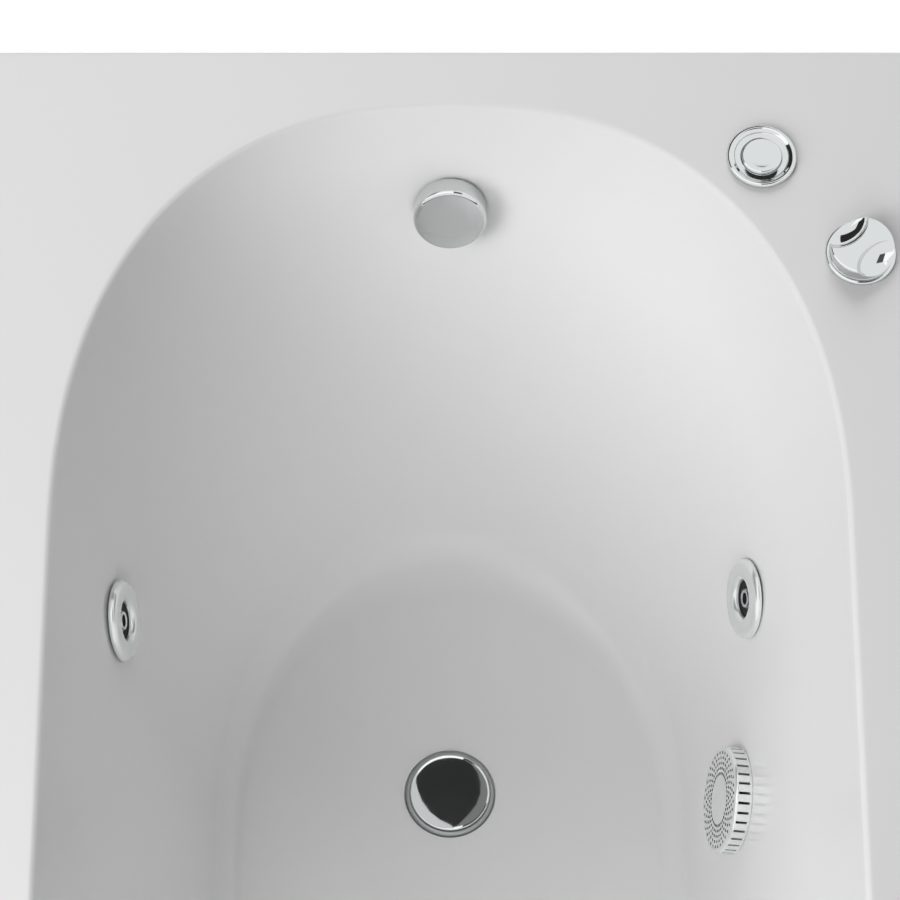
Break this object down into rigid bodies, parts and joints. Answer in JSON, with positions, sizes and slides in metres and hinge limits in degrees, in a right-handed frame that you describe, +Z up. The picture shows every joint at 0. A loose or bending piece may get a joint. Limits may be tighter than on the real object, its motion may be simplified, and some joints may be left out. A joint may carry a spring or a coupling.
{
  "type": "hydromassage bathtub",
  "caption": "Rectangular acrylic hydromassage bath with wall jets, a pop-up waste, deck controls, a pump and a levelling frame.",
  "frame": {"origin": "on the floor, under the middle of the bath", "axes": "+Y along the bath towards the waste end, +X across it to the side with the deck controls, +Z up"},
  "size_m": [0.7, 1.7, 0.5956],
  "materials": {
    "acrylic": "polished white acrylic",
    "chrome": "polished chrome plate",
    "grey_plastic": "moulded",
    "black_rubber": "moulded",
    "white_pipe": "extruded, satin",
    "timber": "sawn and planed softwood",
    "zinc_steel": "galvanised",
    "foot_plastic": "moulded nylon on a zinc-plated stud",
    "motor_paint": "satin paint",
    "pump_plastic": "glass-filled plastic"
  },
  "bodies": {
    "bath": {"bath_shell": "acrylic", "base_board": "timber", "rim_battens": "timber", "side_rails": "zinc_steel", "cross_bars": "zinc_steel", "rim_posts": "zinc_steel", "frame_bolts": "zinc_steel", "foot_nuts": "zinc_steel", "waste_flange": "chrome", "waste_gasket": "black_rubber", "waste_body": "grey_plastic", "overflow_rose": "chrome", "overflow_gasket": "black_rubber", "overflow_body": "grey_plastic", "overflow_pipe": "white_pipe", "bowden_cable": "black_rubber", "button_bezel": "chrome", "button_bellows": "black_rubber", "air_bezel": "chrome", "air_valve": "grey_plastic", "control_nuts": "grey_plastic", "jet_bodies": "grey_plastic", "jet_gaskets": "black_rubber", "jet_fittings": "grey_plastic", "suction_grille": "chrome", "suction_fitting": "grey_plastic", "suction_gasket": "black_rubber", "suction_body": "grey_plastic", "pump_motor": "motor_paint", "pump_housing": "pump_plastic", "pump_base": "zinc_steel", "water_hoses": "white_pipe", "air_hoses": "white_pipe", "suction_hose": "black_rubber", "button_tube": "black_rubber"},
    "overflow_knob": {"overflow_knob": "chrome"},
    "plug": {"waste_plug": "chrome", "plug_seal": "black_rubber"},
    "push_button": {"push_button": "chrome"},
    "air_knob": {"air_knob": "chrome"},
    "rotor": {"pump_rotor": "zinc_steel", "pump_impeller": "pump_plastic"},
    "ring_1": {"jet_ring_1": "chrome"},
    "nozzle_1": {"jet_nozzle_1": "chrome"},
    "foot_1": {"foot_1": "foot_plastic"},
    "ring_2": {"jet_ring_2": "chrome"},
    "nozzle_2": {"jet_nozzle_2": "chrome"},
    "foot_2": {"foot_2": "foot_plastic"},
    "ring_3": {"jet_ring_3": "chrome"},
    "nozzle_3": {"jet_nozzle_3": "chrome"},
    "foot_3": {"foot_3": "foot_plastic"},
    "ring_4": {"jet_ring_4": "chrome"},
    "nozzle_4": {"jet_nozzle_4": "chrome"},
    "foot_4": {"foot_4": "foot_plastic"},
    "ring_5": {"jet_ring_5": "chrome"},
    "nozzle_5": {"jet_nozzle_5": "chrome"},
    "foot_5": {"foot_5": "foot_plastic"},
    "ring_6": {"jet_ring_6": "chrome"},
    "nozzle_6": {"jet_nozzle_6": "chrome"},
    "foot_6": {"foot_6": "foot_plastic"}
  },
  "joints": [
    {"name": "overflow_turn", "type": "hinge", "parent": "bath", "child": "overflow_knob", "pos_m": [0, 0.7648, 0.49358], "axis": [0, -0.9063, 0.4226], "range_deg": [0, 90]},
    {"name": "plug_lift", "type": "slide", "parent": "bath", "child": "plug", "axis": [0, 0, 1], "range_m": [0, 0.01]},
    {"name": "button_press", "type": "slide", "parent": "bath", "child": "push_button", "axis": [0, 0, 1], "range_m": [-0.003, 0], "stiffness_N_per_m": 400, "springref_m": 0.002, "deforming": ["button_bellows"]},
    {"name": "air_turn", "type": "hinge", "parent": "bath", "child": "air_knob", "pos_m": [0.301, 0.679, 0.58], "axis": [0, 0, 1], "range_deg": [0, 180]},
    {"name": "rotor_spin", "type": "hinge", "parent": "bath", "child": "rotor", "pos_m": [-0.128, -0.682, 0.216], "axis": [1, 0, 0], "continuous": true},
    {"name": "ring_turn_1", "type": "hinge", "parent": "bath", "child": "ring_1", "pos_m": [0.22891, 0.48914, 0.37472], "axis": [-0.9505, -0.1416, 0.2766], "range_deg": [0, 90]},
    {"name": "nozzle_tilt_1", "type": "hinge", "parent": "ring_1", "child": "nozzle_1", "pos_m": [0.23461, 0.48999, 0.37306], "axis": [0.1474, -0.9891, 0], "range_deg": [-12, 12]},
    {"name": "ring_turn_2", "type": "hinge", "parent": "bath", "child": "ring_2", "pos_m": [0.23386, 0.09, 0.37476], "axis": [-0.9703, 0, 0.2419], "range_deg": [0, 90]},
    {"name": "nozzle_tilt_2", "type": "hinge", "parent": "ring_2", "child": "nozzle_2", "pos_m": [0.23968, 0.09, 0.37331], "axis": [0, -1, 0], "range_deg": [-12, 12]},
    {"name": "ring_turn_3", "type": "hinge", "parent": "bath", "child": "ring_3", "pos_m": [0.23386, -0.27, 0.37476], "axis": [-0.9703, 0, 0.2419], "range_deg": [0, 90]},
    {"name": "nozzle_tilt_3", "type": "hinge", "parent": "ring_3", "child": "nozzle_3", "pos_m": [0.23968, -0.27, 0.37331], "axis": [0, -1, 0], "range_deg": [-12, 12]},
    {"name": "ring_turn_4", "type": "hinge", "parent": "bath", "child": "ring_4", "pos_m": [-0.24726, 0.44903, 0.42975], "axis": [0.9682, -0.029, 0.2483], "range_deg": [0, 90]},
    {"name": "nozzle_tilt_4", "type": "hinge", "parent": "ring_4", "child": "nozzle_4", "pos_m": [-0.25307, 0.4492, 0.42826], "axis": [0.0299, 0.9996, 0], "range_deg": [-12, 12]},
    {"name": "ring_turn_5", "type": "hinge", "parent": "bath", "child": "ring_5", "pos_m": [-0.24757, 0.09, 0.42976], "axis": [0.9703, 0, 0.2419], "range_deg": [0, 90]},
    {"name": "nozzle_tilt_5", "type": "hinge", "parent": "ring_5", "child": "nozzle_5", "pos_m": [-0.25339, 0.09, 0.42831], "axis": [0, 1, 0], "range_deg": [-12, 12]},
    {"name": "ring_turn_6", "type": "hinge", "parent": "bath", "child": "ring_6", "pos_m": [-0.24757, -0.27, 0.42976], "axis": [0.9703, 0, 0.2419], "range_deg": [0, 90]},
    {"name": "nozzle_tilt_6", "type": "hinge", "parent": "ring_6", "child": "nozzle_6", "pos_m": [-0.25339, -0.27, 0.42831], "axis": [0, 1, 0], "range_deg": [-12, 12]},
    {"name": "foot_screw_1", "type": "slide", "parent": "bath", "child": "foot_1", "axis": [0, 0, 1], "range_m": [-0.02, 0.02]},
    {"name": "foot_screw_2", "type": "slide", "parent": "bath", "child": "foot_2", "axis": [0, 0, 1], "range_m": [-0.02, 0.02]},
    {"name": "foot_screw_3", "type": "slide", "parent": "bath", "child": "foot_3", "axis": [0, 0, 1], "range_m": [-0.02, 0.02]},
    {"name": "foot_screw_4", "type": "slide", "parent": "bath", "child": "foot_4", "axis": [0, 0, 1], "range_m": [-0.02, 0.02]},
    {"name": "foot_screw_5", "type": "slide", "parent": "bath", "child": "foot_5", "axis": [0, 0, 1], "range_m": [-0.02, 0.02]},
    {"name": "foot_screw_6", "type": "slide", "parent": "bath", "child": "foot_6", "axis": [0, 0, 1], "range_m": [-0.02, 0.02]}
  ],
  "couplings": [
    {"joint": "plug_lift", "follows": "overflow_turn", "m_per_rad": 0.0063656}
  ]
}
